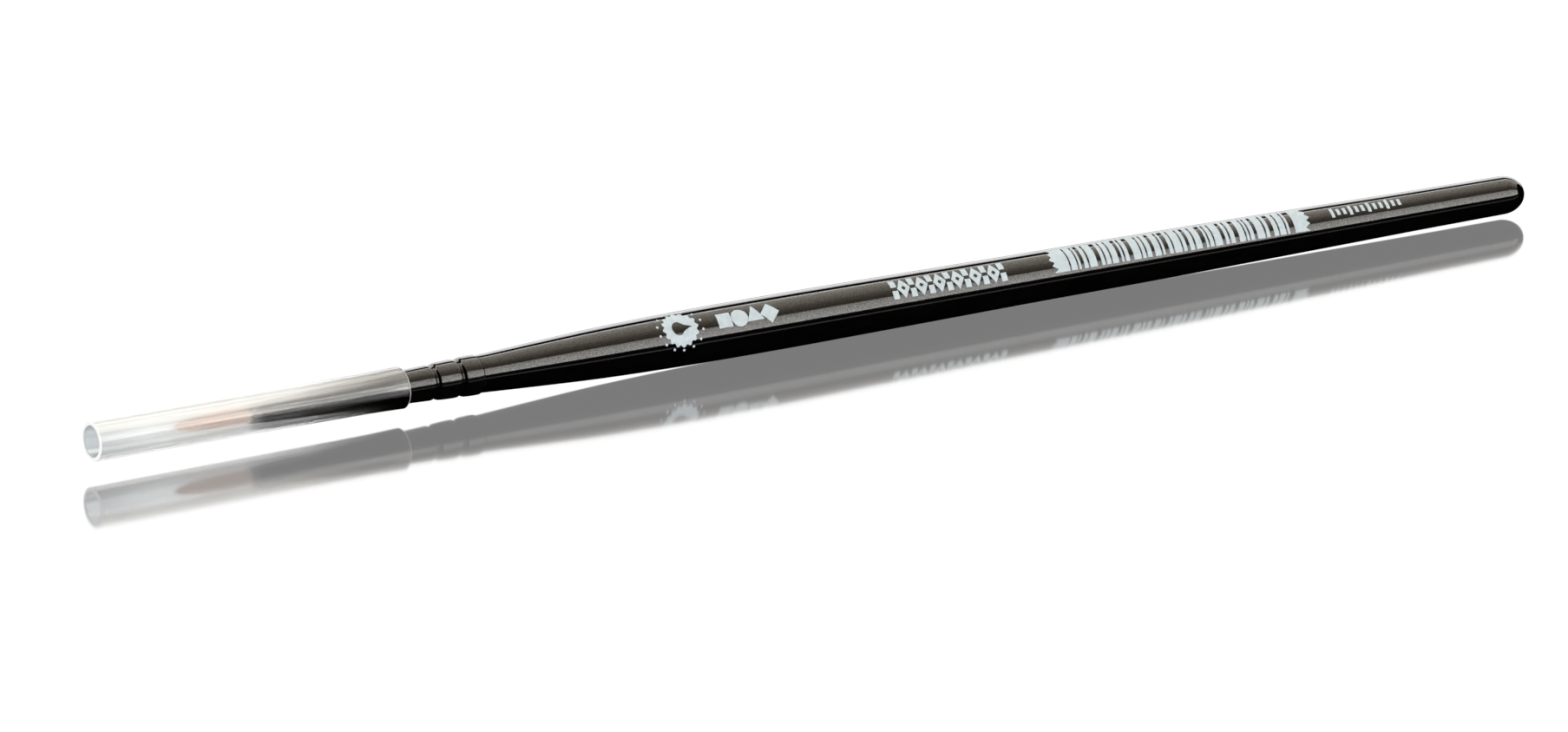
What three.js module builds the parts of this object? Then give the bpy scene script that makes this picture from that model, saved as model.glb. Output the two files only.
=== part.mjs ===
// A fine detail brush for painting miniatures: a lacquered wooden handle, a crimped metal
// ferrule that holds a bound and glued tuft of hair, and a soft clear cap pushed over the front.
//
// Lengths are in millimetres. A station is a distance along the brush's axis, measured from the
// ferrule's mouth: hair is at negative stations and the handle's tail at the largest one.
import * as THREE from "three";

// ---- Driving dimensions ----
const TURN_STEPS = 24; // facets round every turned piece, the same on all so that they nest
const HALF_STEP = Math.PI / TURN_STEPS;
const FIT_GAP = 0.02; // between pieces that sit one inside the other

const FERRULE_LENGTH = 29.1;
const FERRULE_MOUTH_RADIUS = 1.13;
const FERRULE_TAPER = 0.0375; // gain in radius for each millimetre along the cone
const FERRULE_WALL = 0.26;
const FERRULE_RIM_ROUND = 0.1;
const FERRULE_END_DROP = 0.1; // how far the back edge is burnished down
const CRIMP_STATIONS = [23.4, 26.65];
const CRIMP_DEPTH = 0.24;
const CRIMP_HALF_WIDTH = 0.45;
const BAND_BULGE = 0.06; // the crimped bands are slightly barrelled

const HANDLE_FRONT = 29.2;
const HANDLE_SHAPE = [
  // station, radius: a quick swell behind the ferrule, a level belly, then a long slow taper
  [HANDLE_FRONT, 2.1],
  [36.5, 2.49],
  [44.5, 2.88],
  [53.5, 3.08],
  [60.5, 3.14],
  [70.5, 3.14],
  [80.5, 3.06],
  [100.5, 2.89],
  [120.5, 2.78],
  [140.5, 2.54],
  [155.5, 2.33],
  [167.5, 2.23],
];
const TAIL_DOME_LENGTH = 2.9;
const TAIL_DOME_STEPS = 6;
const LACQUER_THICKNESS = 0.12;

const TENON_FRONT = 12;
const TENON_CHAMFER = 0.35;
const GLUE_THICKNESS = 0.06;
const GLUE_FRONT = 13;

const CAP_LENGTH = 39;
const CAP_BACK = 19.5;
const CAP_RADIUS = 2.25;
const CAP_WALL = 0.5;
const CAP_STRETCHED_WALL = 0.48;
const CAP_EDGE_ROUND = 0.08;

const TUFT_SHAPE = [
  // station, radius: from the blunt, rounded tip back to a slight belly and the ferrule's mouth
  [-9.5, 0.06],
  [-9.35, 0.24],
  [-8.8, 0.44],
  [-7.9, 0.6],
  [-6.2, 0.83],
  [-3.5, 0.91],
  [-1.2, 0.89],
  [-0.3, 0.83],
];

const ROOT_FRONT = -0.05;
const ROOT_BACK = 7;
const ROOT_BUTT_RADIUS = 0.98;
const THREAD_RADIUS = 0.06;
const THREAD_START = 2.4;
const THREAD_TURNS = 8;
const THREAD_PITCH = 0.15;
const THREAD_STEPS_PER_TURN = 12;
const THREAD_SIDES = 5;
const BOUND_RADIUS = 0.78; // the hair's radius where the thread squeezes it

const RESIN_FRONT = 5;
const RESIN_BACK = 9;

const LOOSE_HAIR_RADIUS = 0.04;
const LOOSE_HAIR_PATH = [
  // station, distance from the axis, degrees round the axis from -Y towards +Z
  [-0.12, 0.98, -55],
  [-0.5, 1.2, -22],
  [-0.5, 1.42, 6],
  [0.05, 1.58, 30],
  [1.1, 1.66, 52],
  [2.4, 1.68, 68],
  [3.6, 1.68, 80],
];
const LOOSE_HAIR_STEPS = 24;
const LOOSE_HAIR_SIDES = 5;

// ---- Outlines, as lists of [station, radius] ----

// The ferrule's outside: a cone, pressed in at each crimp and barrelled between and after them.
function ferruleRadius(station, inset = 0) {
  const cone = FERRULE_MOUTH_RADIUS + FERRULE_TAPER * station - inset;
  const bandEnds = [...CRIMP_STATIONS, FERRULE_LENGTH];
  let radius = cone;
  for (const crimp of CRIMP_STATIONS) {
    const away = Math.abs(station - crimp) / CRIMP_HALF_WIDTH;
    if (away < 1) radius -= CRIMP_DEPTH * Math.cos((away * Math.PI) / 2) ** 2;
  }
  for (let i = 0; i + 1 < bandEnds.length; i++) {
    const along = (station - bandEnds[i]) / (bandEnds[i + 1] - bandEnds[i]);
    if (along > 0 && along < 1) radius += BAND_BULGE * Math.sin(along * Math.PI);
  }
  return radius;
}

// Stations that draw the crimps and the bands behind them, up to the ferrule's back end.
function crimpStations() {
  const grooves = CRIMP_STATIONS.flatMap((c) => [c - CRIMP_HALF_WIDTH, c, c + CRIMP_HALF_WIDTH]);
  const frontBand = (CRIMP_STATIONS[0] + CRIMP_STATIONS[1]) / 2;
  const backBand = [1 / 3, 2 / 3].map((share) => THREE.MathUtils.lerp(grooves.at(-1), FERRULE_LENGTH, share));
  return [...grooves, frontBand, ...backBand].sort((a, b) => a - b);
}

// The handle's surface, moved inwards by inset: the turned shape, then a half-ellipse tail on the axis.
function handleOutline(inset) {
  const turnedPart = HANDLE_SHAPE.map(([station, radius]) => [station, radius - inset]);
  const [domeStation, domeRadius] = HANDLE_SHAPE[HANDLE_SHAPE.length - 1];
  const dome = [];
  for (let i = 1; i <= TAIL_DOME_STEPS; i++) {
    const angle = (i / TAIL_DOME_STEPS) * (Math.PI / 2);
    const along = Math.sin(angle) * (TAIL_DOME_LENGTH - inset);
    const across = i === TAIL_DOME_STEPS ? 0 : Math.cos(angle) * (domeRadius - inset);
    dome.push([domeStation + along, across]);
  }
  return [...turnedPart, ...dome];
}

// A line of points at the ferrule's inner wall, moved inwards by inset.
function boreOutline(stations, inset) {
  return stations.map((station) => [station, ferruleRadius(station, FERRULE_WALL + inset)]);
}

// ---- Solids ----

// Turns an outline round the brush's axis, which lies along +X. The outline runs towards
// larger stations on its outer side, and either ends on the axis or returns to its start.
// The half step puts the middle of a facet, not an edge, straight below the axis.
function turned(outline) {
  const profile = outline.map(([station, radius]) => new THREE.Vector2(radius, station));
  return new THREE.LatheGeometry(profile, TURN_STEPS, HALF_STEP).rotateZ(-Math.PI / 2);
}

function ring(outer, inner) {
  return turned([...outer, ...inner.slice().reverse(), outer[0]]);
}

// A round thread or hair along a curve.
function strand(curve, radius, sides, steps) {
  const section = new THREE.Shape();
  for (let i = 0; i < sides; i++) {
    const angle = (i / sides) * 2 * Math.PI;
    const [x, y] = [Math.cos(angle) * radius, Math.sin(angle) * radius];
    if (i === 0) section.moveTo(x, y);
    else section.lineTo(x, y);
  }
  section.closePath();
  return new THREE.ExtrudeGeometry(section, { steps, extrudePath: curve, curveSegments: 1 });
}

function ferrule() {
  const outer = [
    [0, FERRULE_MOUTH_RADIUS - FERRULE_RIM_ROUND],
    [FERRULE_RIM_ROUND * 0.3, FERRULE_MOUTH_RADIUS - FERRULE_RIM_ROUND * 0.3],
    [FERRULE_RIM_ROUND, ferruleRadius(FERRULE_RIM_ROUND)],
    ...crimpStations().map((station) => [station, ferruleRadius(station)]),
    [FERRULE_LENGTH - FERRULE_END_DROP, ferruleRadius(FERRULE_LENGTH - FERRULE_END_DROP)],
    [FERRULE_LENGTH, ferruleRadius(FERRULE_LENGTH) - FERRULE_END_DROP],
  ];
  const inner = boreOutline([0, ...crimpStations(), FERRULE_LENGTH], 0);
  return ring(outer, inner);
}

function handleCore() {
  const inset = GLUE_THICKNESS + 2 * FIT_GAP;
  const tenon = boreOutline([TENON_FRONT + TENON_CHAMFER, ...crimpStations(), FERRULE_LENGTH], inset);
  const nose = [
    [TENON_FRONT, 0],
    [TENON_FRONT, tenon[0][1] - TENON_CHAMFER],
  ];
  return turned([...nose, ...tenon, ...handleOutline(LACQUER_THICKNESS + FIT_GAP)]);
}

function handleLacquer() {
  const skin = handleOutline(0);
  const inside = handleOutline(LACQUER_THICKNESS);
  return turned([...skin, ...inside.reverse(), skin[0]]);
}

function tenonGlue() {
  const stations = [GLUE_FRONT, ...crimpStations(), FERRULE_LENGTH];
  const outer = boreOutline(stations, FIT_GAP);
  const inner = boreOutline(stations, FIT_GAP + GLUE_THICKNESS);
  return ring(outer, inner);
}

function rootResin() {
  const outer = boreOutline([RESIN_FRONT, RESIN_BACK], FIT_GAP);
  const pocket = ROOT_BUTT_RADIUS + FIT_GAP;
  return turned([
    ...outer,
    [RESIN_BACK, 0],
    [ROOT_BACK + FIT_GAP, 0],
    [ROOT_BACK + FIT_GAP, pocket],
    [RESIN_FRONT, ferruleRadius(RESIN_FRONT, FERRULE_WALL) - 0.12],
    outer[0],
  ]);
}

function tuftRoot() {
  const threadLength = THREAD_TURNS * THREAD_PITCH;
  const neckFront = THREAD_START - 2 * THREAD_RADIUS;
  const neckBack = THREAD_START + threadLength + 2 * THREAD_RADIUS;
  return turned([
    [ROOT_FRONT, 0],
    [ROOT_FRONT, 0.8],
    [0.2, ferruleRadius(0, FERRULE_WALL + FIT_GAP)],
    [neckFront - 0.5, 0.88],
    [neckFront, BOUND_RADIUS],
    [neckBack, BOUND_RADIUS],
    [neckBack + 0.5, 0.9],
    [ROOT_BACK - 0.3, ROOT_BUTT_RADIUS],
    [ROOT_BACK, ROOT_BUTT_RADIUS - 0.1],
    [ROOT_BACK, 0],
  ]);
}

// The binding thread, wound closely round the neck of the tuft's root.
class WoundThread extends THREE.Curve {
  getPoint(share, target = new THREE.Vector3()) {
    const angle = share * THREAD_TURNS * 2 * Math.PI;
    const distance = BOUND_RADIUS + THREAD_RADIUS + FIT_GAP;
    const station = THREAD_START + share * THREAD_TURNS * THREAD_PITCH;
    return target.set(station, Math.cos(angle) * distance, Math.sin(angle) * distance);
  }
}

function bindingThread() {
  const steps = THREAD_TURNS * THREAD_STEPS_PER_TURN;
  return strand(new WoundThread(), THREAD_RADIUS, THREAD_SIDES, steps);
}

function tuft() {
  const [tipStation] = TUFT_SHAPE[0];
  const [backStation] = TUFT_SHAPE[TUFT_SHAPE.length - 1];
  return turned([[tipStation, 0], ...TUFT_SHAPE, [backStation, 0]]);
}

// One hair that slipped out at the mouth and lies back along the inside of the cap.
function looseHair() {
  const points = LOOSE_HAIR_PATH.map(([station, distance, degrees]) => {
    const angle = THREE.MathUtils.degToRad(degrees);
    return new THREE.Vector3(station, -Math.cos(angle) * distance, Math.sin(angle) * distance);
  });
  const curve = new THREE.CatmullRomCurve3(points);
  return strand(curve, LOOSE_HAIR_RADIUS, LOOSE_HAIR_SIDES, LOOSE_HAIR_STEPS);
}

// The cap is a plain tube whose back end is stretched over the ferrule's cone, which wedges it.
function protectiveCap() {
  const front = CAP_BACK - CAP_LENGTH;
  const bore = CAP_RADIUS - CAP_WALL;
  const wedge = (bore - FIT_GAP - FERRULE_MOUTH_RADIUS) / FERRULE_TAPER;
  const stretchedBore = ferruleRadius(CAP_BACK) + FIT_GAP;
  const stretchedRadius = stretchedBore + CAP_STRETCHED_WALL;
  const outer = [
    [front, CAP_RADIUS - CAP_EDGE_ROUND],
    [front + CAP_EDGE_ROUND, CAP_RADIUS],
    [wedge - 1.5, CAP_RADIUS],
    [wedge, CAP_RADIUS + 0.02],
    [CAP_BACK - 1.2, stretchedRadius - 0.03],
    [CAP_BACK - CAP_EDGE_ROUND, stretchedRadius],
    [CAP_BACK, stretchedRadius - CAP_EDGE_ROUND],
  ];
  const inner = [
    [front, bore],
    [wedge, bore],
    [CAP_BACK, stretchedBore],
  ];
  return ring(outer, inner);
}

// ---- Materials and assembly ----

function finish(color, roughness, metalness = 0) {
  return new THREE.MeshStandardMaterial({ color, roughness, metalness });
}

const blackLacquer = finish(0x0a0a0b, 0.12);
const birch = finish(0xc9a878, 0.7);
const blackMetal = finish(0x1b1a1a, 0.22, 0.8);
const glue = finish(0xd8cfae, 0.4);
const resin = finish(0xb98a45, 0.3);
const thread = finish(0xe6e0d2, 0.9);
const hair = finish(0xa8653c, 0.5);
const clearPlastic = finish(0xe9efee, 0.4);
clearPlastic.transparent = true;
clearPlastic.opacity = 0.4;

const PIECES = [
  ["handle_core", handleCore, birch],
  ["handle_lacquer", handleLacquer, blackLacquer],
  ["ferrule", ferrule, blackMetal],
  ["tenon_glue", tenonGlue, glue],
  ["root_resin", rootResin, resin],
  ["binding_thread", bindingThread, thread],
  ["tuft_root", tuftRoot, hair],
  ["tuft", tuft, hair],
  ["loose_hair", looseHair, hair],
  ["protective_cap", protectiveCap, clearPlastic],
];

const brush = new THREE.Group();
for (const [name, shape, material] of PIECES) {
  const mesh = new THREE.Mesh(shape(), material);
  mesh.name = name;
  brush.add(mesh);
}

// The part's origin is under the middle of the capped brush, on the level of the facet that the
// handle's belly rests on when the axis is level.
const tailEnd = HANDLE_SHAPE[HANDLE_SHAPE.length - 1][0] + TAIL_DOME_LENGTH;
const capFront = CAP_BACK - CAP_LENGTH;
const bellyRadius = Math.max(...HANDLE_SHAPE.map(([, radius]) => radius));
brush.position.set(-(capFront + tailEnd) / 2, 0, bellyRadius * Math.cos(HALF_STEP));

export default brush;
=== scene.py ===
"""A fine detail brush on a pale glossy table: the looks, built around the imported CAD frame.

The brush lies along X, with the tuft and its cap at the low end. Angles round the brush are
measured from the side that faces -Y, upwards. Lengths are in metres, and in mm where a comment
says so.
"""

import math
import random

import bpy
import numpy as np
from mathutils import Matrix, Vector
from mathutils.bvhtree import BVHTree
from mathutils.geometry import delaunay_2d_cdt


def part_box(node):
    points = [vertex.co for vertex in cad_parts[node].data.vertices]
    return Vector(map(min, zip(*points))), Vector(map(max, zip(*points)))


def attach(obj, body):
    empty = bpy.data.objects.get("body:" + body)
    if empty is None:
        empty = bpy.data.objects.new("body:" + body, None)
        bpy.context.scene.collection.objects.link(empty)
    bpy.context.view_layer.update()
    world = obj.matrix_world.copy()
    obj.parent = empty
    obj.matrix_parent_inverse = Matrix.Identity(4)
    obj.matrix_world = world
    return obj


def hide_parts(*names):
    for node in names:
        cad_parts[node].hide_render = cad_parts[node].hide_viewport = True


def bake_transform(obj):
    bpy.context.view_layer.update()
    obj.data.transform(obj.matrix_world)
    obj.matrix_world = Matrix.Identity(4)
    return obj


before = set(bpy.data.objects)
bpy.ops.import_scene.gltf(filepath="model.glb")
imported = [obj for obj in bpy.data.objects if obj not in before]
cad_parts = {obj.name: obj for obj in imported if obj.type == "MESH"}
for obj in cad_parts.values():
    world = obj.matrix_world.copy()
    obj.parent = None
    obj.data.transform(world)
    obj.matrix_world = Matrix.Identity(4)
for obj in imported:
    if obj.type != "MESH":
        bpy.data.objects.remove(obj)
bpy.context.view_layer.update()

# ---- Places taken from the frame ----
MM = 0.001
CAD_FACETS = 24  # round every turned CAD node, with the middle of one straight below the axis
LACQUER_LOW, LACQUER_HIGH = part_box("handle_lacquer")
FERRULE_LOW, FERRULE_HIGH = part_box("ferrule")
CAP_LOW, CAP_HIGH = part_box("protective_cap")
TUFT_LOW, TUFT_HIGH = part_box("tuft")
AXIS_Z = (LACQUER_LOW.z + LACQUER_HIGH.z) / 2
MOUTH_X = FERRULE_LOW.x
BELLY_RADIUS = (LACQUER_HIGH.z - LACQUER_LOW.z) / 2

# ---- Driving sizes of the looks ----
TURN_SEGMENTS = 96
STATION_STEP = 1.0 * MM  # spacing of rings along the handle
DOME_LENGTH = 2.9 * MM
LACQUER_THICKNESS = 0.12 * MM
FRONT_EDGE_ROUND = 0.06 * MM

CRIMP_SEARCH_START = 15 * MM  # behind the mouth, where the plain cone is surely over
CRIMP_HALF_WIDTH = 0.27 * MM
CRIMP_DEPTH = 0.32 * MM
CRIMP_MARGIN = 1 * MM  # of plain cone in front of the first crimp, where its dip has faded out
BAND_BULGE = 0.07 * MM
BAND_SQUARENESS = 0.6  # below 1 the crimped bands are flatter on top and steeper at their ends
FERRULE_RIM_ROUND = 0.09 * MM
FERRULE_STEP = 0.05 * MM

CAP_RINGS = 60
CAP_RIM_ROUND = 0.1 * MM
CAP_LIP_SHARE = 0.6  # of the outer rim's rounding, on the bore's edges
BORE_TEST = 0.5 * MM  # a face turned to the axis from further away than this is the bore's

HAIR_COUNT = 520
HAIR_RADIUS = 0.035 * MM
HAIR_RINGS = 14
HAIR_SIDES = 4
HAIR_TAPER = 0.85  # the share of its radius that a hair loses towards its tip
HAIR_TIP_SPREAD = 0.2  # of the tuft's length, over which the tips end
HAIR_TIP_BIAS = 2.2  # above 1 most of them end near the point
HAIR_WAVE = 0.03 * MM  # how far a hair strays at most from its smooth path
HAIR_ROOT_DEPTH = 0.6 * MM  # how far the hairs start inside the ferrule
GOLDEN_ANGLE = 137.508  # between one hair and the next, which spreads them evenly over a disc

STRAY_HAIR_RADIUS = 0.055 * MM
STRAY_HAIR_STEPS = 6  # between two points of its path
STRAY_HAIR_PATH = [
    # mm behind the mouth, mm from the axis, degrees round it
    (-0.12, 0.98, -55),
    (-0.5, 1.2, -22),
    (-0.5, 1.42, 6),
    (0.05, 1.58, 30),
    (1.1, 1.66, 52),
    (2.4, 1.68, 68),
    (3.6, 1.68, 80),
]

INK_THICKNESS = 0.02 * MM
INK_SINK = 0.006 * MM  # how far the ink's underside sits in the lacquer
INK_GRID = 0.3 * MM  # spacing of the points that bend the ink round the handle
INK_ROUGH_EDGE = 0.0175 * MM  # how far an edge is pushed in or out at most
INK_EDGE_STEP = 0.14 * MM
PRINT_PLACES = {
    # mm behind the ferrule's mouth, degrees round the handle
    "print_badge": (54.4, 42),
    "print_shapes": (63.1, 42),
    "print_ornament": (90.0, 45.5),
    "print_bars": (121.6, 52),
    "print_ticks": (147.4, 52.5),
}
END_BLOCK_BITES = [0.3, 0.9, 0.2, 0.6, 0.0, 0.5, 0.25, 0.8, 0.4]  # mm torn out of the bar panel's ends

CAMERA_AZIMUTH = -31.5
CAMERA_ELEVATION = 16.75
CAMERA_DISTANCE = 1.47
CAMERA_LENS = 299
CAMERA_AIM_STATION = 69.4 * MM  # behind the ferrule's mouth
CAMERA_AIM_DROP = 5.11 * MM  # below the axis, to leave room for the reflection

TENT_RADIUS = 0.7
TENT_FRONT = -0.7  # where the tent starts and ends along X
TENT_BACK = 1.5
TENT_BRIGHTEST = 4
TENT_GLOW = [
    # degrees round the brush, brightness, warmth
    (-17.5, 0, 0),
    (-16.5, 0.4, 0.05),
    (-13, 0.4, 0.05),
    (-12, 0, 0),
    (5, 0, 0),
    (5.7, 3.5, 0.1),
    (8.5, 3.1, 0.08),
    (18, 2.8, 0.06),
    (32, 2.3, 0.06),
    (40.5, 1.9, 0.08),
    (42, 1.3, 0.1),
    (43.5, 0.25, 0.3),
    (55, 0.36, 0.35),
    (68, 0.6, 0.3),
    (80, 1.0, 0.25),
    (94, 1.2, 0.2),
    (104, 1.45, 0.18),
    (114, 1.6, 0.15),
    (121, 1.9, 0.12),
    (123, 3.6, 0.1),
    (127, 4, 0.1),
    (128, 0, 0),
    (146, 0, 0),
    (147.5, 2.35, 0),
    (180, 2.35, 0),
]
ROOM_BRIGHTNESS = 2.35
WORLD_FILL = 0.8
FLOOR_SIZE = 12
FLOOR_GLOW = 0.195
FLOOR_MIRROR = 0.36
FLOOR_ROUGHNESS = 0.085
FLOOR_DROP = 0.12 * MM  # below the brush's lowest points, which parts it from its reflection
LEAN_START = 20 * MM  # behind the belly, from where on the handle may rest on the table


# ---------------------------------------------------------------- outlines


def cad_tree(node):
    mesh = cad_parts[node].data
    return BVHTree.FromPolygons([v.co for v in mesh.vertices], [p.vertices for p in mesh.polygons])


def cad_radius(tree, x, inside=False):
    """A turned CAD node's radius at x, read at the middle of the facet below the axis."""
    on_axis = Vector((x, 0, AXIS_Z))
    below = Vector((x, 0, AXIS_Z - 10 * BELLY_RADIUS))
    start, direction = (on_axis, below - on_axis) if inside else (below, on_axis - below)
    hit = tree.ray_cast(start, direction.normalized())[0]
    return (AXIS_Z - hit.z) / math.cos(math.pi / CAD_FACETS)


def smoothed(values, passes):
    """Evens out the kinks between a CAD outline's straight stretches, and keeps both ends."""
    values = np.array(values)
    for _ in range(passes):
        values[1:-1] = (values[:-2] + 2 * values[1:-1] + values[2:]) / 4
    return values


def handle_skin_outline():
    """The lacquer's outside as (x, radius) arrays, from the ferrule to the tail's dome."""
    tree = cad_tree("handle_lacquer")
    front = LACQUER_LOW.x + STATION_STEP / 50
    dome = LACQUER_HIGH.x - DOME_LENGTH
    stations = np.linspace(front, dome, round((dome - front) / STATION_STEP))
    radii = smoothed([cad_radius(tree, x) for x in stations], passes=14)
    return stations, radii


HANDLE_X, HANDLE_RADII = handle_skin_outline()


def handle_radius(x):
    return float(np.interp(x, HANDLE_X, HANDLE_RADII))


def quarter_turn(x, radius, x_reach, radius_reach, start_degrees, steps=6):
    """Points of an elliptical quarter round (x, radius), clockwise when x runs to the right."""
    points = []
    for i in range(steps + 1):
        angle = math.radians(start_degrees - 90 * i / steps)
        points.append((x + math.cos(angle) * x_reach, radius + math.sin(angle) * radius_reach))
    return points


# ---------------------------------------------------------------- meshes


def new_piece(name, vertices, faces, material, smooth_below=40):
    mesh = bpy.data.meshes.new(name)
    mesh.from_pydata(vertices, [], faces)
    mesh.materials.append(material)
    mesh.shade_smooth()
    mesh.set_sharp_from_angle(angle=math.radians(smooth_below))
    piece = bpy.data.objects.new(name, mesh)
    bpy.context.scene.collection.objects.link(piece)
    return piece


def around(x, radius, degrees):
    """The point at that angle and distance round the brush's axis."""
    angle = math.radians(degrees)
    return Vector((x, -math.cos(angle) * radius, AXIS_Z + math.sin(angle) * radius))


def turned(name, outline, material, smooth_below=40):
    """A closed body turned round the brush's axis from a loop of (x, radius) points."""
    vertices, rings, faces = [], [], []
    for x, radius in outline:
        start = len(vertices)
        if radius < 1e-7:
            rings.append([start] * TURN_SEGMENTS)
            vertices.append(around(x, 0, 0))
        else:
            rings.append([start + i for i in range(TURN_SEGMENTS)])
            vertices += [around(x, radius, 360 * i / TURN_SEGMENTS) for i in range(TURN_SEGMENTS)]
    for ring, following in zip(rings, rings[1:] + rings[:1]):
        for i in range(TURN_SEGMENTS):
            j = (i + 1) % TURN_SEGMENTS
            corners = list(dict.fromkeys([ring[i], following[i], following[j], ring[j]]))
            if len(corners) > 2:
                faces.append(corners)
    return new_piece(name, vertices, faces, material, smooth_below)


def strand(path, radii, sides):
    """Vertices and faces of one closed tube along a list of points, with a radius at each."""
    vertices, faces = [], []
    side = Vector((0, 0, 1))
    for i, (point, radius) in enumerate(zip(path, radii)):
        ahead = (path[min(i + 1, len(path) - 1)] - path[max(i - 1, 0)]).normalized()
        side = (side - ahead * side.dot(ahead)).normalized()
        other = ahead.cross(side)
        for k in range(sides):
            angle = 2 * math.pi * k / sides
            vertices.append(point + (side * math.cos(angle) + other * math.sin(angle)) * radius)
    for i in range(len(path) - 1):
        for k in range(sides):
            a, b = i * sides + k, i * sides + (k + 1) % sides
            faces.append((a, b, b + sides, a + sides))
    last = (len(path) - 1) * sides
    faces.append(tuple(reversed(range(sides))))
    faces.append(tuple(range(last, last + sides)))
    return vertices, faces


def add_strand(vertices, faces, path, radii, sides):
    more_vertices, more_faces = strand(path, radii, sides)
    offset = len(vertices)
    vertices += more_vertices
    faces += [tuple(i + offset for i in face) for face in more_faces]


# ---------------------------------------------------------------- materials


class Shader:
    """A short way to write a material's nodes."""

    def __init__(self, name):
        self.material = bpy.data.materials.new(name)
        self.material.use_nodes = True
        self.tree = self.material.node_tree
        self.tree.nodes.clear()

    def node(self, kind, inputs=None, **settings):
        node = self.tree.nodes.new(kind)
        for key, value in settings.items():
            setattr(node, key, value)
        for key, value in (inputs or {}).items():
            socket = node.inputs[key]
            if isinstance(value, bpy.types.NodeSocket):
                self.tree.links.new(value, socket)
            elif isinstance(value, bpy.types.Node):
                self.tree.links.new(value.outputs[0], socket)
            else:
                socket.default_value = value
        return node

    def place(self, scale=(1, 1, 1)):
        """Object coordinates, stretched. A node's place is in its mesh, so these are metres."""
        coords = self.node("ShaderNodeTexCoord")
        return self.node("ShaderNodeMapping", {"Vector": coords.outputs["Object"], "Scale": scale})

    def noise(self, scale, stretch=(1, 1, 1), detail=2, roughness=0.5):
        inputs = {"Vector": self.place(stretch), "Scale": scale, "Detail": detail, "Roughness": roughness}
        return self.node("ShaderNodeTexNoise", inputs)

    def ramp(self, factor, stops):
        node = self.node("ShaderNodeValToRGB", {"Fac": factor})
        elements = node.color_ramp.elements
        while len(elements) < len(stops):
            elements.new(0.5)
        for element, (position, color) in zip(elements, stops):
            element.position = position
            element.color = (*color, 1) if isinstance(color, tuple) else (color, color, color, 1)
        return node

    def math(self, operation, *values):
        inputs = dict(enumerate(values))
        return self.node("ShaderNodeMath", inputs, operation=operation)

    def fade(self, value, start, end):
        """0 where the value is at start, 1 where it is at end, even in between and held outside."""
        inputs = {"Value": value, "From Min": start, "From Max": end}
        return self.node("ShaderNodeMapRange", inputs)

    def mix(self, share, first, second):
        return self.node("ShaderNodeMixShader", {0: share, 1: first, 2: second})

    def bump(self, height, distance):
        return self.node("ShaderNodeBump", {"Height": height, "Distance": distance})

    def finish(self, surface):
        output = self.node("ShaderNodeOutputMaterial")
        self.tree.links.new(surface.outputs[0], output.inputs["Surface"])
        return self.material


def lacquer_material():
    """Gloss black lacquer: a faint orange peel, fine dust under the gloss, few larger nibs."""
    s = Shader("black_lacquer")
    peel = s.noise(900, stretch=(0.35, 1, 1), detail=2)
    dust = s.noise(9000, detail=1)
    nibs = s.node("ShaderNodeTexVoronoi", {"Vector": s.place(), "Scale": 260})
    nib = s.ramp(nibs.outputs["Distance"], [(0.0, 1.0), (0.035, 0.0)])
    height = s.math("ADD", s.math("MULTIPLY", peel, 0.8), s.math("MULTIPLY", dust, 0.22))
    height = s.math("ADD", height, s.math("MULTIPLY", nib, 0.4))
    rough = s.ramp(s.noise(3000, detail=3), [(0.3, 0.05), (0.75, 0.11)])
    color = s.ramp(peel, [(0.3, (0.0006, 0.0006, 0.0007)), (0.8, (0.0016, 0.0014, 0.0013))])
    surface = s.node(
        "ShaderNodeBsdfPrincipled",
        {
            "Base Color": color,
            "Roughness": rough,
            "IOR": 1.8,
            "Specular IOR Level": s.ramp(s.noise(7000, detail=2), [(0.3, 0.28), (0.7, 0.72)]),
            "Normal": s.bump(height, 0.0035 * MM),
        },
    )
    return s.finish(surface)


def ferrule_material():
    """Black coated metal: polished, with faint drawing lines round it and a slightly warm sheen.
    It turns dull underneath, so that the clear cap does not show the table mirrored in it."""
    s = Shader("black_metal")
    rings = s.noise(5200, stretch=(1, 0.04, 0.04), detail=2)
    grain = s.noise(8000, detail=2)
    height = s.math("ADD", s.math("MULTIPLY", rings, 0.5), s.math("MULTIPLY", grain, 0.3))
    rough = s.ramp(s.noise(2500, detail=3), [(0.25, 0.09), (0.8, 0.17)])
    color = s.ramp(grain, [(0.3, (0.0006, 0.0006, 0.0006)), (0.8, (0.002, 0.0017, 0.0016))])
    normal = s.node("ShaderNodeSeparateXYZ", {0: s.node("ShaderNodeNewGeometry").outputs["Normal"]})
    upper = s.ramp(s.math("ADD", normal.outputs["Z"], 1.0), [(0.75, 0.0), (0.95, 1.0)])
    grained = s.ramp(s.noise(7000, detail=2), [(0.3, 0.3), (0.7, 0.7)])
    surface = s.node(
        "ShaderNodeBsdfPrincipled",
        {
            "Base Color": color,
            "Roughness": rough,
            "IOR": 1.8,
            "Specular IOR Level": s.math("MULTIPLY", grained, upper),
            "Normal": s.bump(height, 0.003 * MM),
        },
    )
    return s.finish(surface)


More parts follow.
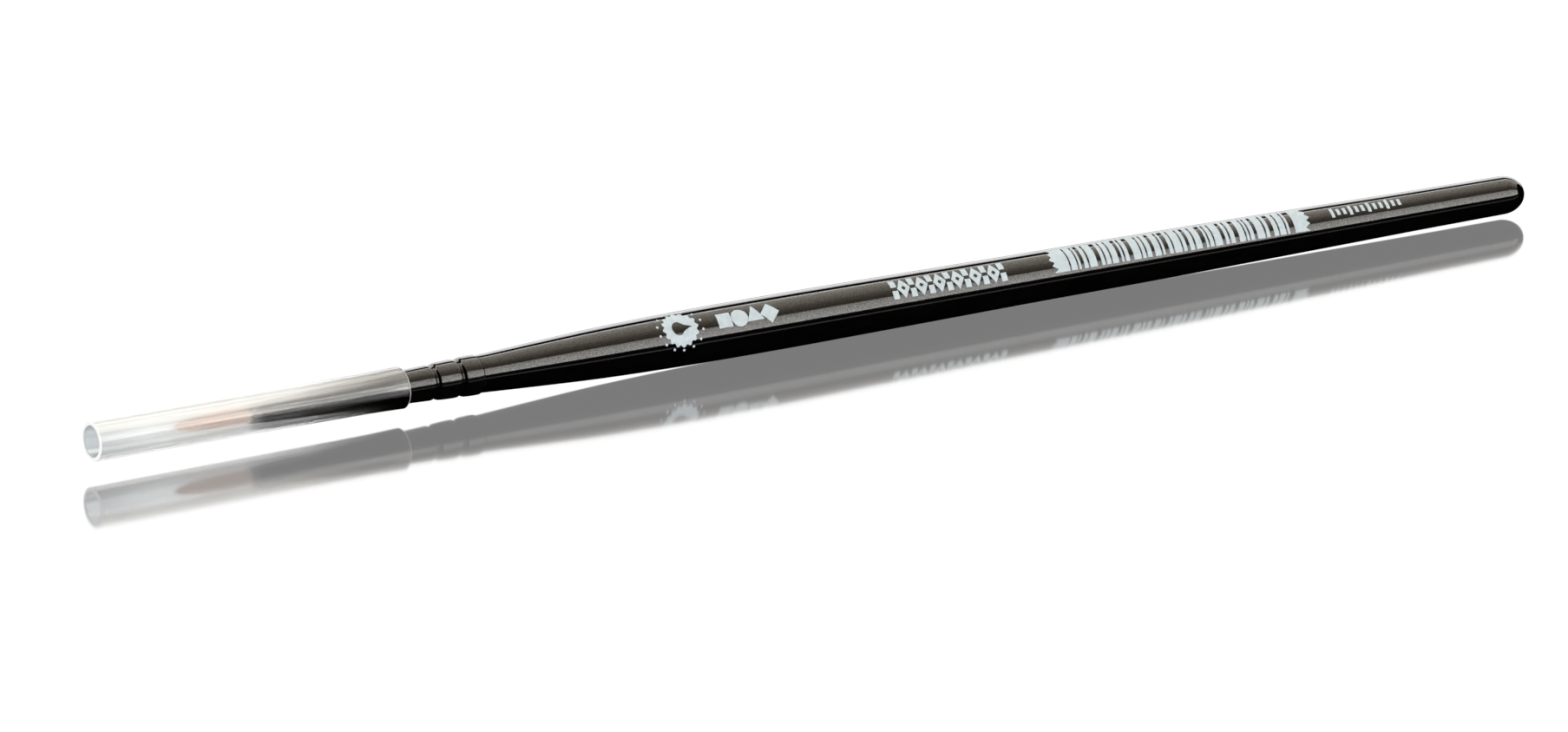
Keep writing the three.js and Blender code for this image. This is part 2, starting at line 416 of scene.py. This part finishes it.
def cap_shaders(s):
    """The cap's ingredients by name, and the pattern of its drawing lines."""
    lines = s.noise(2600, stretch=(0.02, 1, 1), detail=3)
    frost = s.noise(5200, detail=2)
    height = s.math("ADD", s.math("MULTIPLY", lines, 0.6), s.math("MULTIPLY", frost, 0.5))
    bump = s.bump(height, 0.0006 * MM)
    plastic = {
        "Base Color": (0.97, 0.985, 0.99, 1),
        "Roughness": s.ramp(lines, [(0.3, 0.08), (0.75, 0.15)]),
        "IOR": 1.46,
        "Transmission Weight": 1.0,
        "Normal": bump,
    }
    frosting = {"Color": (1, 1, 1, 1), "Roughness": 0.35, "Normal": bump}
    shaders = {
        "plastic": s.node("ShaderNodeBsdfPrincipled", plastic),
        "frosting": s.node("ShaderNodeBsdfGlossy", frosting),
        "milk": s.node("ShaderNodeBsdfDiffuse", {"Color": (0.96, 0.985, 0.99, 1), "Normal": bump}),
        # painted shade: a grey copy of the milk that hazes the inside of the bore and darkens it
        "bore_haze_and_shade": s.node("ShaderNodeBsdfDiffuse", {"Color": (0.30, 0.36, 0.39, 1)}),
        "clear": s.node("ShaderNodeBsdfTransparent", {"Color": (0.98, 0.99, 0.995, 1)}),
    }
    return shaders, lines


def cap_masks(s):
    """Where on the cap a ray is, as values from 0 to 1 by name."""
    point = s.node("ShaderNodeNewGeometry")
    normal = s.node("ShaderNodeSeparateXYZ", {0: point.outputs["True Normal"]})
    place = s.node("ShaderNodeSeparateXYZ", {0: s.place()})
    x, up = place.outputs["X"], normal.outputs["Z"]
    entering = s.math("SUBTRACT", 1.0, point.outputs["Backfacing"])
    height = s.math("SUBTRACT", place.outputs["Z"], AXIS_Z)
    across = s.math("MULTIPLY", place.outputs["Y"], normal.outputs["Y"])
    outwards = s.math("ADD", s.math("MULTIPLY", height, up), across)
    facing = s.math("SUBTRACT", s.math("MULTIPLY", entering, 2.0), 1.0)
    gripped = s.fade(x, MOUTH_X + 2 * MM, CAP_HIGH.x - 3 * MM)
    return {
        "entering": entering,
        "bore": s.math("LESS_THAN", s.math("MULTIPLY", outwards, facing), -BORE_TEST),
        "gripped": gripped,  # over the ferrule
        "loose": s.math("SUBTRACT", 1.0, gripped),
        "empty": s.fade(x, MOUTH_X + 1 * MM, MOUTH_X - 1 * MM),  # in front of the ferrule
        "near_end": s.fade(x, CAP_LOW.x + 7 * MM, CAP_LOW.x + 3 * MM),
        "cut_end": s.ramp(s.math("ABSOLUTE", normal.outputs["X"]), [(0.08, 0.0), (0.3, 1.0)]),
        # painted light: the cap's upper side is made milkier and so whiter, as if lit from above
        "painted_top_light": s.ramp(up, [(0.35, 0.0), (0.7, 0.6)]),
        "under": s.ramp(s.math("MULTIPLY", up, -1.0), [(0.55, 0.0), (0.95, 0.3)]),
        "lit_side": s.ramp(s.math("ADD", up, 0.5), [(0.35, 0.0), (0.65, 1.0)]),
    }


def cap_material():
    """Frosted clear plastic: it blurs what is behind it a little and its frost catches the lights.
    It is white at the cut ends and hazy in front of the ferrule, its upper side is made milkier as
    painted light, the inside of its bore gets a grey painted shade, and it turns clear where it grips the
    ferrule."""
    s = Shader("frosted_cap")
    shaders, lines = cap_shaders(s)
    m = cap_masks(s)

    streak = s.math("MULTIPLY", s.ramp(lines, [(0.42, 0.02), (0.6, 0.22)]), m["lit_side"])
    frost = s.math("ADD", s.math("MULTIPLY", m["empty"], 0.08), streak)
    frost = s.math("MULTIPLY", m["entering"], frost)

    thinned = s.math("SUBTRACT", 1.0, s.math("MULTIPLY", m["gripped"], 0.75))
    # painted light on top, less of it over the ferrule, joined with the real haze in front of the ferrule
    haze_and_top_light = s.math("MULTIPLY", m["painted_top_light"], thinned)
    haze_and_top_light = s.math("MAXIMUM", haze_and_top_light, s.math("MULTIPLY", m["empty"], 0.27))
    milk_and_top_light = s.math("MULTIPLY", m["entering"], s.math("MAXIMUM", haze_and_top_light, m["cut_end"]))

    # painted shade on the bore, with more of it near the front end
    bore_haze_and_shade_share = s.math("ADD", s.math("MULTIPLY", m["near_end"], 0.4), 0.38)
    bore_haze_and_shade_share = s.math("MULTIPLY", s.math("MULTIPLY", m["entering"], m["bore"]), bore_haze_and_shade_share)

    clearness = s.math("MULTIPLY", m["loose"], s.math("ADD", m["under"], 0.3))
    clearness = s.math("MAXIMUM", clearness, s.math("MULTIPLY", m["gripped"], m["bore"]))
    clearness = s.math("MULTIPLY", clearness, s.math("SUBTRACT", 1.0, m["cut_end"]))
    fill_light = s.node("ShaderNodeLightPath").outputs["Is Diffuse Ray"]

    frosted = s.mix(frost, shaders["plastic"], shaders["frosting"])
    milky_and_top_lit = s.mix(milk_and_top_light, frosted, shaders["milk"])
    hazy_and_bore_shaded = s.mix(bore_haze_and_shade_share, milky_and_top_lit, shaders["bore_haze_and_shade"])
    return s.finish(s.mix(s.math("MAXIMUM", clearness, fill_light), hazy_and_bore_shaded, shaders["clear"]))


def hair_material(name, dark, light, tip):
    """Hair: each strand its own shade, streaked along its length and paler towards the tip."""
    s = Shader(name)
    strand_shade = s.node("ShaderNodeNewGeometry").outputs["Random Per Island"]
    shade = s.ramp(strand_shade, [(0.0, dark), (1.0, light)])
    along = s.node("ShaderNodeSeparateXYZ", {0: s.place()})
    reach = s.fade(along.outputs["X"], MOUTH_X - 4 * MM, TUFT_LOW.x)
    color = s.node(
        "ShaderNodeMix",
        {"Factor": s.math("MULTIPLY", reach, 0.6), "A": shade, "B": (*tip, 1)},
        data_type="RGBA",
    )
    streak = s.noise(6000, stretch=(0.05, 1, 1), detail=2)
    surface = s.node(
        "ShaderNodeBsdfPrincipled",
        {
            "Base Color": color.outputs["Result"],
            "Roughness": 0.38,
            "Specular IOR Level": 0.5,
            "Normal": s.bump(streak, 0.004 * MM),
        },
    )
    return s.finish(surface)


def ink_material():
    """Screen printed white ink: slightly uneven cover and a soft, satin surface."""
    s = Shader("white_ink")
    cover = s.noise(1600, detail=4, roughness=0.6)
    color = s.ramp(cover, [(0.25, (0.42, 0.49, 0.54)), (0.6, (0.51, 0.60, 0.66))])
    surface = s.node(
        "ShaderNodeBsdfPrincipled",
        {
            "Base Color": color,
            "Roughness": 0.42,
            "Normal": s.bump(s.noise(5000, detail=2), 0.004 * MM),
        },
    )
    return s.finish(surface)


def wood_material():
    """Bare birch inside the handle: pale, with grain drawn out along the handle."""
    s = Shader("handle_wood")
    grain = s.noise(1500, stretch=(0.03, 1, 1), detail=4)
    color = s.ramp(grain, [(0.3, (0.42, 0.27, 0.14)), (0.7, (0.66, 0.48, 0.29))])
    inputs = {"Base Color": color, "Roughness": 0.65, "Normal": s.bump(grain, 0.02 * MM)}
    return s.finish(s.node("ShaderNodeBsdfPrincipled", inputs))


def set_glue_material(name, pale, deep):
    """Glue or resin that has set, with cloudy patches."""
    s = Shader(name)
    color = s.ramp(s.noise(900, detail=3), [(0.3, deep), (0.7, pale)])
    inputs = {"Base Color": color, "Roughness": 0.35, "Normal": s.bump(s.noise(1500), 0.01 * MM)}
    return s.finish(s.node("ShaderNodeBsdfPrincipled", inputs))


def thread_material():
    """Twisted cotton thread."""
    s = Shader("binding_thread")
    twist = s.node(
        "ShaderNodeTexWave",
        {"Vector": s.place(), "Scale": 1400, "Distortion": 1.5},
        bands_direction="DIAGONAL",
    )
    color = s.ramp(twist, [(0.2, (0.55, 0.51, 0.42)), (0.8, (0.80, 0.77, 0.69))])
    inputs = {"Base Color": color, "Roughness": 0.8, "Normal": s.bump(twist, 0.01 * MM)}
    return s.finish(s.node("ShaderNodeBsdfPrincipled", inputs))


# ---------------------------------------------------------------- the brush


def build_handle(material):
    skin = [(x, handle_radius(x)) for x in HANDLE_X]
    front_x, front_radius = skin[0]
    tail_x, tail_radius = skin[-1]
    edge = FRONT_EDGE_ROUND
    front = quarter_turn(front_x + edge, front_radius - edge, edge, edge, 180)[:-1]
    skin = [(x, r) for x, r in skin if x > front_x + edge]
    dome = quarter_turn(tail_x, 0, DOME_LENGTH, tail_radius, 90, steps=24)[1:]
    dome[-1] = (dome[-1][0], 0)
    thickness = LACQUER_THICKNESS
    inner_dome = quarter_turn(tail_x, 0, DOME_LENGTH - thickness, tail_radius - thickness, 90, steps=12)
    inner_dome[-1] = (inner_dome[-1][0], 0)
    inside = inner_dome[::-1] + [(x, handle_radius(x) - thickness) for x in HANDLE_X[::-1][1:]]
    piece = turned("handle_skin", front + skin + dome + inside, material)
    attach(piece, "brush")
    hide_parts("handle_lacquer")


def crimp_places(tree):
    """Where the CAD ferrule is pressed in: the stations of its two deepest local dips."""
    stations = np.arange(MOUTH_X + CRIMP_SEARCH_START, FERRULE_HIGH.x - 0.6 * MM, FERRULE_STEP)
    radii = np.array([cad_radius(tree, x) for x in stations])
    dips = [i for i in range(1, len(radii) - 1) if radii[i] < radii[i - 1] and radii[i] <= radii[i + 1]]

    def height_over_cone(i):
        return radii[i] - np.interp(stations[i], stations[[0, -1]], radii[[0, -1]])

    return sorted(float(stations[i]) for i in sorted(dips, key=height_over_cone)[:2])


def ferrule_outline(tree, crimps):
    """The ferrule's outer radius as a function of x: a cone with crimps and barrelled bands."""
    cone_start, cone_end = MOUTH_X + 0.5 * MM, crimps[0] - CRIMP_MARGIN
    start_radius = cad_radius(tree, cone_start)
    slope = (cad_radius(tree, cone_end) - start_radius) / (cone_end - cone_start)
    band_ends = [*crimps, FERRULE_HIGH.x]

    def outer_radius(x):
        radius = start_radius + slope * (x - cone_start)
        for crimp in crimps:
            radius -= CRIMP_DEPTH * math.exp(-(((x - crimp) / CRIMP_HALF_WIDTH) ** 2))
        for start, end in zip(band_ends, band_ends[1:]):
            if start < x < end:
                bulge = math.sin(math.pi * (x - start) / (end - start)) ** BAND_SQUARENESS
                radius += BAND_BULGE * bulge
        return radius

    return outer_radius


def build_ferrule(material):
    tree = cad_tree("ferrule")
    crimps = crimp_places(tree)
    outer_radius = ferrule_outline(tree, crimps)
    on_cone = MOUTH_X + 5 * MM
    wall = cad_radius(tree, on_cone) - cad_radius(tree, on_cone, inside=True)
    rim = FERRULE_RIM_ROUND
    cone = np.arange(MOUTH_X + rim, crimps[0] - CRIMP_MARGIN, STATION_STEP)
    crimped = np.arange(crimps[0] - 0.9 * CRIMP_MARGIN, FERRULE_HIGH.x - rim, FERRULE_STEP)
    outside = [(x, outer_radius(x)) for x in [*cone, *crimped]]
    front = quarter_turn(MOUTH_X + rim, outer_radius(MOUTH_X + rim) - rim, rim, rim, 180)[:-1]
    end_radius = outer_radius(FERRULE_HIGH.x - rim)
    back = quarter_turn(FERRULE_HIGH.x - rim, end_radius - rim, rim, rim, 90)
    inside = [(x, outer_radius(x) - wall) for x in [*crimped[::-1], *cone[::-1]]]
    inside = [(FERRULE_HIGH.x, end_radius - wall), *inside, (MOUTH_X, outer_radius(MOUTH_X) - wall)]
    piece = turned("ferrule_tube", front + outside + back + inside, material)
    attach(piece, "brush")
    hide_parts("ferrule")


def build_cap(material):
    tree = cad_tree("protective_cap")
    rim = CAP_RIM_ROUND
    front, back = CAP_LOW.x, CAP_HIGH.x
    stations = np.linspace(front + rim, back - rim, CAP_RINGS)
    outer = smoothed([cad_radius(tree, x) for x in stations], passes=4)
    inner = smoothed([cad_radius(tree, x, inside=True) for x in stations], passes=1)
    lip = rim * CAP_LIP_SHARE
    front_rim = quarter_turn(front + rim, outer[0] - rim, rim, rim, 180)[:-1]
    back_rim = quarter_turn(back - rim, outer[-1] - rim, rim, rim, 90)[1:]
    back_lip = [(back, inner[-1] + lip), (back - lip * 0.3, inner[-1] + lip * 0.3)]
    front_lip = [(front + lip * 0.3, inner[0] + lip * 0.3), (front, inner[0] + lip)]
    outside = list(zip(stations, outer))
    inside = list(zip(stations, inner))[::-1]
    outline = front_rim + outside + back_rim + back_lip + inside + front_lip
    piece = turned("cap_tube", outline, material, smooth_below=50)
    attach(piece, "cap")
    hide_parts("protective_cap")


def tuft_envelope():
    """The tuft's radius as a function of x, from the CAD tuft's outline."""
    tree = cad_tree("tuft")
    stations = np.linspace(TUFT_LOW.x + 0.05 * MM, TUFT_HIGH.x - 0.02 * MM, 30)
    radii = smoothed([cad_radius(tree, x) for x in stations], passes=3)
    return lambda x: float(np.interp(x, stations, radii))


def build_tuft(material):
    """Hairs that start inside the ferrule, fill its mouth and close to a point."""
    draw = random.Random(7)
    envelope = tuft_envelope()
    length = TUFT_HIGH.x - TUFT_LOW.x
    vertices, faces = [], []
    for i in range(HAIR_COUNT):
        share = math.sqrt((i + 0.5) / HAIR_COUNT)  # of the bundle's radius
        angle = i * GOLDEN_ANGLE + draw.uniform(-8, 8)
        tip_x = TUFT_LOW.x + length * (draw.random() ** HAIR_TIP_BIAS) * HAIR_TIP_SPREAD
        wave = draw.uniform(0, HAIR_WAVE)
        turn = draw.uniform(0, 360)  # many turns, in radians, so any direction round the path
        path, radii = [], []
        for k in range(HAIR_RINGS):
            t = k / (HAIR_RINGS - 1)
            x = MOUTH_X + HAIR_ROOT_DEPTH + (tip_x - MOUTH_X - HAIR_ROOT_DEPTH) * t
            spread = share * (envelope(x) - HAIR_RADIUS * 1.2)
            point = around(x, max(spread, 0), angle)
            swing = wave * math.sin(math.pi * 2 * t)
            point += Vector((0, math.cos(turn) * swing, math.sin(turn) * swing))
            path.append(point)
            radii.append(HAIR_RADIUS * (1 - HAIR_TAPER * t**3))
        add_strand(vertices, faces, path, radii, HAIR_SIDES)
    hairs = new_piece("tuft_hairs", vertices, faces, material, smooth_below=100)
    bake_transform(hairs)
    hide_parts("tuft")


def curve_through(corners, steps):
    """A smooth path through all the corners, with that many steps between each two."""
    path = []
    for i in range(len(corners) - 1):
        a, b = corners[i], corners[i + 1]
        before = corners[max(i - 1, 0)]
        after = corners[min(i + 2, len(corners) - 1)]
        for k in range(steps):
            t = k / steps
            bend = (b - before) * t + (before * 2 - a * 5 + b * 4 - after) * t**2
            bend += (a * 3 - before - b * 3 + after) * t**3
            path.append(a + bend / 2)
    return [*path, corners[-1]]


def build_stray_hair(material):
    corners = [around(MOUTH_X + s * MM, r * MM, a) for s, r, a in STRAY_HAIR_PATH]
    path = curve_through(corners, STRAY_HAIR_STEPS)
    radii = [STRAY_HAIR_RADIUS * (1 - 0.5 * (i / len(path)) ** 2) for i in range(len(path))]
    vertices, faces = strand(path, radii, sides=8)
    piece = new_piece("stray_hair", vertices, faces, material, smooth_below=80)
    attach(piece, "brush")
    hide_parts("loose_hair")


# ---------------------------------------------------------------- printed marks


def polygon(sides, radius, turn=0.0, center=(0, 0)):
    """A regular polygon as a list of (along, up) points."""
    points = []
    for i in range(sides):
        angle = 2 * math.pi * (i + turn) / sides
        points.append((center[0] + math.cos(angle) * radius, center[1] + math.sin(angle) * radius))
    return points


def bar(center, width, height):
    x, y = center
    return [
        (x - width / 2, y - height / 2),
        (x + width / 2, y - height / 2),
        (x + width / 2, y + height / 2),
        (x - width / 2, y + height / 2),
    ]


def roughened(loop, draw):
    """The loop with points added along it and pushed in or out a little, like a printed edge."""
    points = []
    for (x0, y0), (x1, y1) in zip(loop, loop[1:] + loop[:1]):
        length = math.hypot(x1 - x0, y1 - y0)
        steps = max(1, round(length / INK_EDGE_STEP))
        across = (-(y1 - y0) / length, (x1 - x0) / length)
        for i in range(steps):
            push = draw.uniform(-1, 1) * INK_ROUGH_EDGE
            x, y = x0 + (x1 - x0) * i / steps, y0 + (y1 - y0) * i / steps
            points.append((x + across[0] * push, y + across[1] * push))
    return points


def inside_loops(points, loops):
    """Whether each point lies inside an odd number of the loops."""
    x, y = np.array(points).T
    odd = np.zeros(len(x), bool)
    for loop in loops:
        for (x0, y0), (x1, y1) in zip(loop, loop[1:] + loop[:1]):
            if y0 != y1:
                odd ^= ((y0 > y) != (y1 > y)) & (x < x0 + (y - y0) * (x1 - x0) / (y1 - y0))
    return odd


def ink_triangles(loops):
    """Triangles of the area inside the loops, with a grid of points so that it can bend."""
    points, edges = [], []
    for loop in loops:
        start = len(points)
        points += loop
        edges += [(start + i, start + (i + 1) % len(loop)) for i in range(len(loop))]
    low, high = np.min(points, axis=0), np.max(points, axis=0)
    for x in np.arange(low[0], high[0], INK_GRID):
        points += [(x, y) for y in np.arange(low[1], high[1], INK_GRID)]
    flat, _, triangles, *_ = delaunay_2d_cdt([Vector(p) for p in points], edges, [], 0, 1e-8, False)
    middles = [sum((flat[i] for i in triangle), Vector((0, 0))) / 3 for triangle in triangles]
    inked = inside_loops(middles, loops)
    return flat, [triangle for triangle, is_inked in zip(triangles, inked) if is_inked]


def build_print(name, loops, station, degrees, material):
    """White ink in the shape of the loops, wrapped round the handle at a station and angle."""
    draw = random.Random(len(loops) + 11)
    flat, triangles = ink_triangles([roughened(loop, draw) for loop in loops])
    used = sorted({i for triangle in triangles for i in triangle})
    number = {old: new for new, old in enumerate(used)}
    triangles = [[number[i] for i in triangle] for triangle in triangles]
    vertices = []
    for height in (INK_THICKNESS, -INK_SINK):
        for i in used:
            x = MOUTH_X + station + flat[i].x
            radius = handle_radius(x)
            turn = degrees + math.degrees(flat[i].y / radius)
            vertices.append(around(x, radius + height, turn))
    count = len(used)
    sides = {(a, b) for t in triangles for a, b in zip(t, t[1:] + t[:1])}
    rims = [(a, b) for a, b in sorted(sides) if (b, a) not in sides]
    faces = [tuple(t) for t in triangles]
    faces += [tuple(i + count for i in reversed(t)) for t in triangles]
    faces += [(b, a, a + count, b + count) for a, b in rims]
    piece = new_piece(name, vertices, faces, material, smooth_below=30)
    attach(piece, "brush")


def badge_loops():
    """A scalloped disc with a paint drop cut out of it and a ring of dots around it."""
    disc = []
    for i in range(120):
        angle = 2 * math.pi * i / 120
        radius = (2.15 + 0.15 * math.cos(16 * angle)) * MM
        disc.append((math.cos(angle) * radius, math.sin(angle) * radius))
    drop = []
    for x, y in polygon(24, 0.85 * MM, center=(-0.25 * MM, 0)):
        ahead = max(x, 0)  # this side is drawn out to the drop's point
        drop.append((x + 0.9 * MM * (ahead / (0.6 * MM)) ** 3, y * (1 - ahead / (0.8 * MM))))
    dots = []
    for i in range(14):
        angle = 2 * math.pi * (i + 0.5) / 14
        center = (math.cos(angle) * 2.85 * MM, math.sin(angle) * 2.6 * MM)
        dots.append(polygon(10, 0.16 * MM, center=center))
    return [disc, drop, *dots]


def shape_row_loops():
    """Four plain shapes in a row: a square, a disc, a triangle and a diamond."""
    pitch, size = 1.98 * MM, 1.12 * MM
    makers = [(4, 1.12, 0.5), (28, 0.95, 0), (3, 1.15, 0.75), (4, 1.1, 0)]
    loops = []
    for i, (sides, scale, turn) in enumerate(makers):
        loops.append(polygon(sides, size * scale, turn, center=((i - 1.5) * pitch, 0)))
    return loops


def ornament_loops():
    """A row of pierced lozenges with a notched upright between each two."""
    pitch = 2.42 * MM
    loops = []
    for i in range(6):
        x = (i - 2.5) * pitch
        loops.append([(x - 0.85 * MM, 0), (x, -1.25 * MM), (x + 0.85 * MM, 0), (x, 1.25 * MM)])
        loops.append(polygon(4, 0.3 * MM, center=(x, 0)))
    for i in range(7):
        x = (i - 3) * pitch
        loops.append(bar((x, 0.72 * MM), 0.75 * MM, 1.0 * MM))
        loops.append(bar((x, -0.72 * MM), 0.75 * MM, 1.0 * MM))
    return loops


def bar_panel_loops():
    """A panel of plain bars in a short repeating rhythm, with a solid block torn off at each end."""
    half, height = 17.9 * MM, 3.3 * MM
    block_end = 2.4 * MM  # from the panel's end
    widths = [0.8, 0.3, 0.5, 1.0, 0.45, 0.6]
    gaps = [0.22, 0.22, 0.45, 0.25, 0.6]
    block = [(block_end, height / 2), (block_end, -height / 2)]
    block += [(bite * MM, (i / 8 - 0.5) * height) for i, bite in enumerate(END_BLOCK_BITES)]
    loops = [[(x - half, y) for x, y in block], [(half - x, y) for x, y in block]]
    x, i = block_end - half, 0
    while True:
        gap, width = gaps[i % len(gaps)] * MM, widths[i % len(widths)] * MM
        if x + gap + width > half - block_end - 0.3 * MM:
            return loops
        loops.append(bar((x + gap + width / 2, 0), width, height))
        x, i = x + gap + width, i + 1


def tick_loops():
    """A short row of tick marks, every third one taller."""
    pitch = 0.85 * MM
    loops = []
    for i in range(12):
        height = 1.3 if i % 3 == 0 else 0.85
        loops.append(bar(((i - 5.5) * pitch, 0), 0.42 * MM, height * MM))
    return loops


def build_prints(material):
    makers = {
        "print_badge": badge_loops,
        "print_shapes": shape_row_loops,
        "print_ornament": ornament_loops,
        "print_bars": bar_panel_loops,
        "print_ticks": tick_loops,
    }
    for name, make_loops in makers.items():
        station, degrees = PRINT_PLACES[name]
        build_print(name, make_loops(), station * MM, degrees, material)


def dress_hidden_nodes(hair):
    """The pieces inside the handle and ferrule keep their CAD shapes and get real finishes."""
    finishes = {
        "handle_core": wood_material(),
        "tenon_glue": set_glue_material("tenon_glue", (0.74, 0.68, 0.48), (0.60, 0.52, 0.32)),
        "root_resin": set_glue_material("root_resin", (0.52, 0.31, 0.10), (0.33, 0.17, 0.05)),
        "binding_thread": thread_material(),
        "tuft_root": hair,
    }
    for node, material in finishes.items():
        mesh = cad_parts[node].data
        mesh.materials.clear()
        mesh.materials.append(material)


# ---------------------------------------------------------------- studio


def build_light_tent():
    """A half tunnel of light along the brush, as bright at each angle round it as TENT_GLOW says."""
    shader = Shader("light_tent")
    point = shader.node("ShaderNodeNewGeometry")
    place = shader.node("ShaderNodeSeparateXYZ", {0: point.outputs["Position"]})
    above = shader.math("SUBTRACT", place.outputs["Z"], AXIS_Z)
    angle = shader.math("ARCTAN2", above, shader.math("MULTIPLY", place.outputs["Y"], -1.0))
    low, high = TENT_GLOW[0][0], TENT_GLOW[-1][0]
    share = shader.fade(angle, math.radians(low), math.radians(high))
    stops = []
    for degrees, brightness, warmth in TENT_GLOW:
        value = brightness / TENT_BRIGHTEST
        tint = (value, value * (1 - warmth * 0.4), value * (1 - warmth))
        stops.append(((degrees - low) / (high - low), tint))
    ramp = shader.ramp(share, stops)
    glow = shader.node("ShaderNodeEmission", {"Color": ramp, "Strength": TENT_BRIGHTEST})
    lit = shader.math("GREATER_THAN", ramp, 0.001)
    clear = shader.node("ShaderNodeBsdfTransparent")
    shader.finish(shader.mix(lit, clear, glow))
    vertices = []
    steps = 48
    for i in range(steps + 1):
        degrees = low + (high - low) * i / steps
        vertices += [around(x, TENT_RADIUS, degrees) for x in (TENT_FRONT, TENT_BACK)]
    faces = [(2 * i, 2 * i + 1, 2 * i + 3, 2 * i + 2) for i in range(steps)]
    tent = new_piece("light_tent", vertices, faces, shader.material)
    tent.visible_camera = False
    tent.visible_shadow = False


def build_world():
    """White behind the table for the camera, a fill for matt surfaces, black in reflections."""
    world = bpy.data.worlds.new("studio")
    bpy.context.scene.world = world
    world.use_nodes = True
    tree = world.node_tree
    tree.nodes.clear()
    rays = tree.nodes.new("ShaderNodeLightPath")
    fill = tree.nodes.new("ShaderNodeMath")
    fill.operation = "MULTIPLY"
    fill.inputs[1].default_value = WORLD_FILL
    tree.links.new(rays.outputs["Is Diffuse Ray"], fill.inputs[0])
    strength = tree.nodes.new("ShaderNodeMath")
    strength.operation = "MAXIMUM"
    tree.links.new(rays.outputs["Is Camera Ray"], strength.inputs[0])
    tree.links.new(fill.outputs[0], strength.inputs[1])
    background = tree.nodes.new("ShaderNodeBackground")
    background.inputs["Color"].default_value = (1, 1, 1, 1)
    tree.links.new(strength.outputs[0], background.inputs["Strength"])
    output = tree.nodes.new("ShaderNodeOutputWorld")
    tree.links.new(background.outputs[0], output.inputs["Surface"])


def build_room(table):
    """A white room that only the table mirrors, so that the lacquer's shadow side stays black."""
    shader = Shader("white_room")
    shader.finish(shader.node("ShaderNodeEmission", {"Strength": ROOM_BRIGHTNESS}))
    bpy.ops.mesh.primitive_uv_sphere_add(segments=48, ring_count=24, radius=FLOOR_SIZE)
    room = bpy.context.active_object
    room.name = "white_room"
    room.data.materials.append(shader.material)
    room.visible_camera = False
    room.visible_diffuse = False
    room.visible_transmission = False
    room.visible_shadow = False
    group = bpy.data.collections.new("lit_by_white_room")
    group.objects.link(table)
    room.light_linking.receiver_collection = group


def build_table():
    """A pale glossy table top that the brush rests on with its belly and its back half."""
    shader = Shader("table_top")
    glow = shader.node("ShaderNodeEmission", {"Strength": FLOOR_GLOW})
    gloss = {"Color": (FLOOR_MIRROR,) * 3 + (1,), "Roughness": FLOOR_ROUGHNESS}
    mirror = shader.node("ShaderNodeBsdfGlossy", gloss)
    shader.finish(shader.node("ShaderNodeAddShader", {0: glow, 1: mirror}))
    belly_radius, belly_x = max(zip(HANDLE_RADII, HANDLE_X))
    behind = [(x, r) for x, r in zip(HANDLE_X, HANDLE_RADII) if x > belly_x + LEAN_START]
    lean = min(math.atan2(belly_radius - r, x - belly_x) for x, r in behind)
    mesh = bpy.data.meshes.new("table_top")
    half = FLOOR_SIZE / 2
    corners = [(-half, -half, 0), (half, -half, 0), (half, half, 0), (-half, half, 0)]
    mesh.from_pydata(corners, [], [(0, 1, 2, 3)])
    mesh.materials.append(shader.material)
    table = bpy.data.objects.new("table_top", mesh)
    table.location = (belly_x, 0, AXIS_Z - belly_radius - FLOOR_DROP)
    table.rotation_euler = (0, -lean, 0)
    bpy.context.scene.collection.objects.link(table)
    table.visible_glossy = False
    table.visible_diffuse = False
    return table


def build_camera():
    azimuth, elevation = math.radians(CAMERA_AZIMUTH), math.radians(CAMERA_ELEVATION)
    back = Vector((math.sin(azimuth), -math.cos(azimuth), 0)) * math.cos(elevation)
    back.z = math.sin(elevation)
    data = bpy.data.cameras.new("camera")
    data.lens = CAMERA_LENS
    data.clip_start = 0.05
    data.clip_end = 50
    camera = bpy.data.objects.new("camera", data)
    bpy.context.scene.collection.objects.link(camera)
    camera.rotation_mode = "QUATERNION"
    camera.rotation_quaternion = (-back).to_track_quat("-Z", "Y")
    up = camera.rotation_quaternion @ Vector((0, 1, 0))
    aim = Vector((MOUTH_X + CAMERA_AIM_STATION, 0, AXIS_Z)) - up * CAMERA_AIM_DROP
    camera.location = aim + back * CAMERA_DISTANCE
    bpy.context.scene.camera = camera


# ---------------------------------------------------------------- assembly

hair = hair_material("brown_hair", (0.42, 0.21, 0.12), (0.88, 0.53, 0.37), (0.9, 0.62, 0.48))
build_handle(lacquer_material())
build_ferrule(ferrule_material())
build_cap(cap_material())
build_tuft(hair)
build_stray_hair(hair_material("loose_hair", (0.8, 0.56, 0.44), (0.85, 0.62, 0.5), (0.9, 0.7, 0.55)))
build_prints(ink_material())
dress_hidden_nodes(hair)

build_light_tent()
build_world()
build_room(build_table())
build_camera()

scene = bpy.context.scene
scene.view_settings.view_transform = "Standard"
scene.cycles.max_bounces = 16
scene.cycles.transparent_max_bounces = 24
scene.cycles.transmission_bounces = 12
